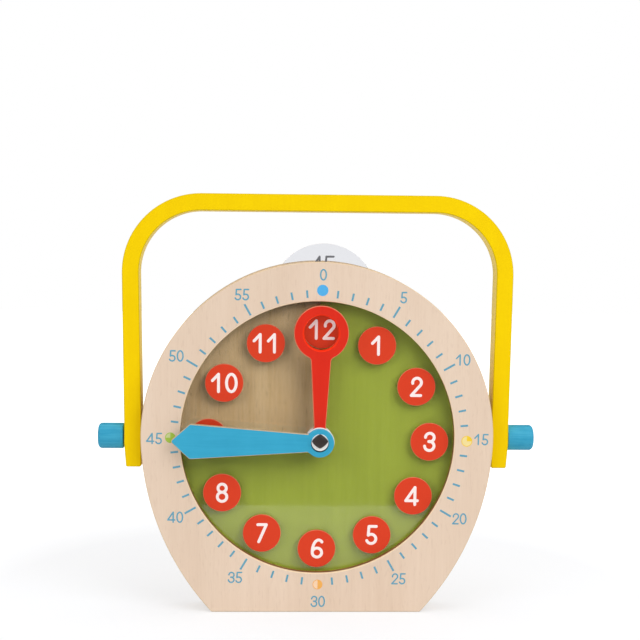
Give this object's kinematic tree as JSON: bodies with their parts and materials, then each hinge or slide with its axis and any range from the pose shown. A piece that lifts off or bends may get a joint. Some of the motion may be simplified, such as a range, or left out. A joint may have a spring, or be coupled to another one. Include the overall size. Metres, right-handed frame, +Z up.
{
  "type": "teaching clock",
  "caption": "Free-standing wooden teaching clock with loose hands, a sliding card behind a clear window, and a swinging carrying handle on side pegs.",
  "frame": {"origin": "middle of the flat base that the clock stands on, at half the depth of the body", "axes": "+Z up, +Y towards the back, +X to the right as seen from the front, so the dial faces -Y"},
  "size_m": [0.2506, 0.0416, 0.2382],
  "materials": {
    "beech_ply": "clear satin varnish over pale beech",
    "clear_acrylic": "polished clear sheet",
    "printed_film": "clear film with a green print",
    "red_disc": "matte print with pale numerals",
    "red_paint": "satin red paint",
    "blue_paint": "satin blue paint",
    "yellow_paint": "satin yellow paint",
    "blue_stain": "blue stain with the grain showing",
    "white_nylon": "matte moulded",
    "dark_steel": "dark burnished",
    "zinc_steel": "bright zinc plate"
  },
  "bodies": {
    "body": {"front_ring": "beech_ply", "window": "clear_acrylic", "card_channel": "beech_ply", "back_board": "beech_ply", "number_disc_01": "red_disc", "number_disc_02": "red_disc", "number_disc_03": "red_disc", "number_disc_04": "red_disc", "number_disc_05": "red_disc", "number_disc_06": "red_disc", "number_disc_07": "red_disc", "number_disc_08": "red_disc", "number_disc_09": "red_disc", "number_disc_10": "red_disc", "number_disc_11": "red_disc", "number_disc_12": "red_disc", "axle_bolt": "dark_steel", "axle_nut": "dark_steel", "rear_spacer": "white_nylon", "middle_washer": "white_nylon", "front_washer": "white_nylon", "left_peg": "blue_stain", "right_peg": "blue_stain", "back_screw_1": "zinc_steel", "back_screw_2": "zinc_steel", "back_screw_3": "zinc_steel", "back_screw_4": "zinc_steel", "back_screw_5": "zinc_steel", "back_screw_6": "zinc_steel"},
    "hour_hand": {"hour_hand": "red_paint"},
    "minute_hand": {"minute_hand": "blue_paint"},
    "handle": {"handle": "yellow_paint"},
    "quarter_card": {"quarter_card": "printed_film"}
  },
  "joints": [
    {"name": "handle_swing", "type": "hinge", "parent": "body", "child": "handle", "pos_m": [0, 0.0048, 0.0989], "axis": [1, 0, 0], "range_deg": [-127, 133]},
    {"name": "hour_turn", "type": "hinge", "parent": "body", "child": "hour_hand", "pos_m": [0.001, -0.0128, 0.0989], "axis": [0, 1, 0], "continuous": true},
    {"name": "minute_turn", "type": "hinge", "parent": "body", "child": "minute_hand", "pos_m": [0.001, -0.0174, 0.0989], "axis": [0, 1, 0], "continuous": true},
    {"name": "card_slide", "type": "slide", "parent": "body", "child": "quarter_card", "axis": [0, 0, 1], "range_m": [0, 0.185]}
  ]
}
